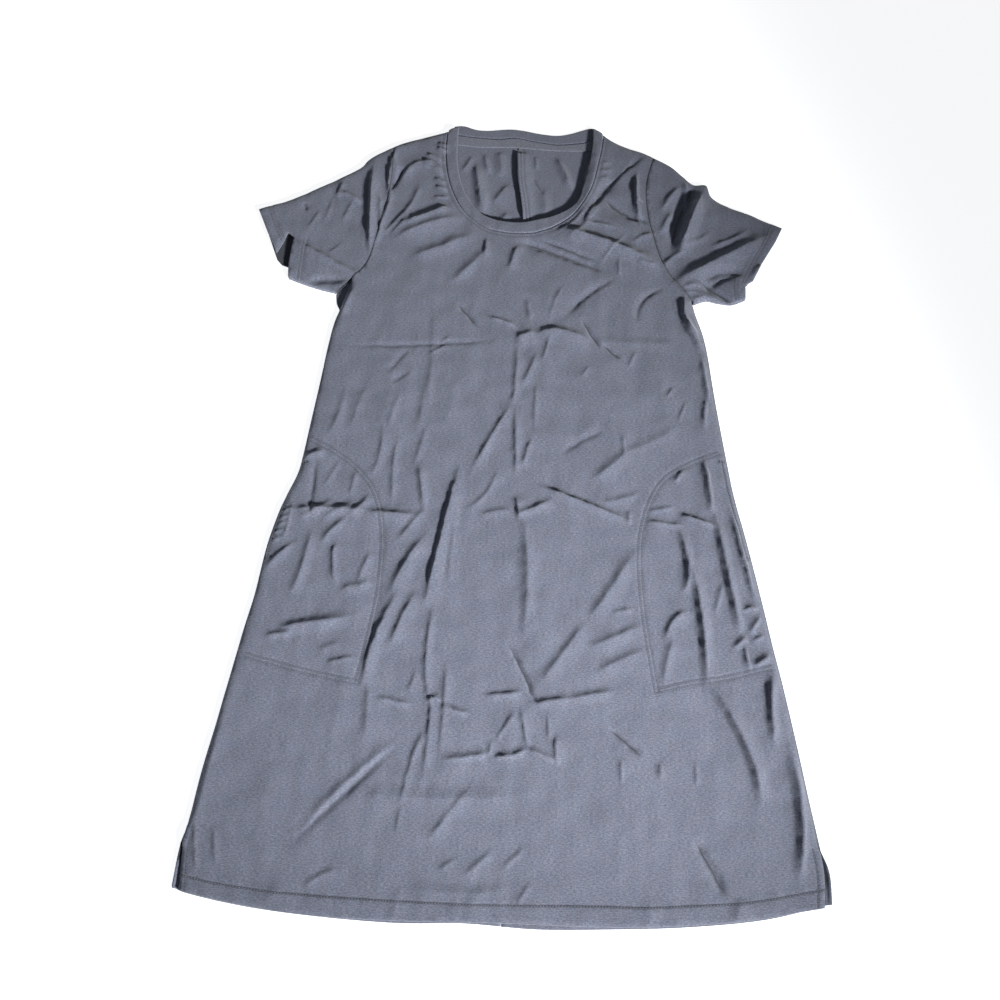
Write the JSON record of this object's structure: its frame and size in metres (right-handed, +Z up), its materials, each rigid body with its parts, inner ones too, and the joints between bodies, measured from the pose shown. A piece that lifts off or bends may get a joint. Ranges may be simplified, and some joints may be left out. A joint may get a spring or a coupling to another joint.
{
  "type": "t-shirt dress",
  "caption": "Short-sleeved jersey dress laid flat, with a scooped neck band, side-seam pockets, a flared skirt and hem slits, creased as it was put down.",
  "frame": {"origin": "middle of the dress's outline, on the surface it lies on", "axes": "+Z is up, out of the surface; +Y runs from the hem to the neck; +X is to the right of someone who looks down on the front with the neck at the top"},
  "size_m": [0.68, 0.9724, 0.0156],
  "materials": {
    "jersey": "matt slate-grey heather jersey",
    "band": "matt slate-grey heather jersey, folded double",
    "tape": "matt slate-grey woven tape",
    "pocketing": "matt slate-grey heather jersey"
  },
  "bodies": {
    "root": {"front_panel": "jersey", "back_left": "jersey", "back_right": "jersey", "sleeve_left": "jersey", "sleeve_right": "jersey", "neckband_front": "band", "neckband_back": "band", "neck_tape": "tape", "pocket_bag_left": "pocketing", "pocket_bag_right": "pocketing"}
  },
  "joints": []
}
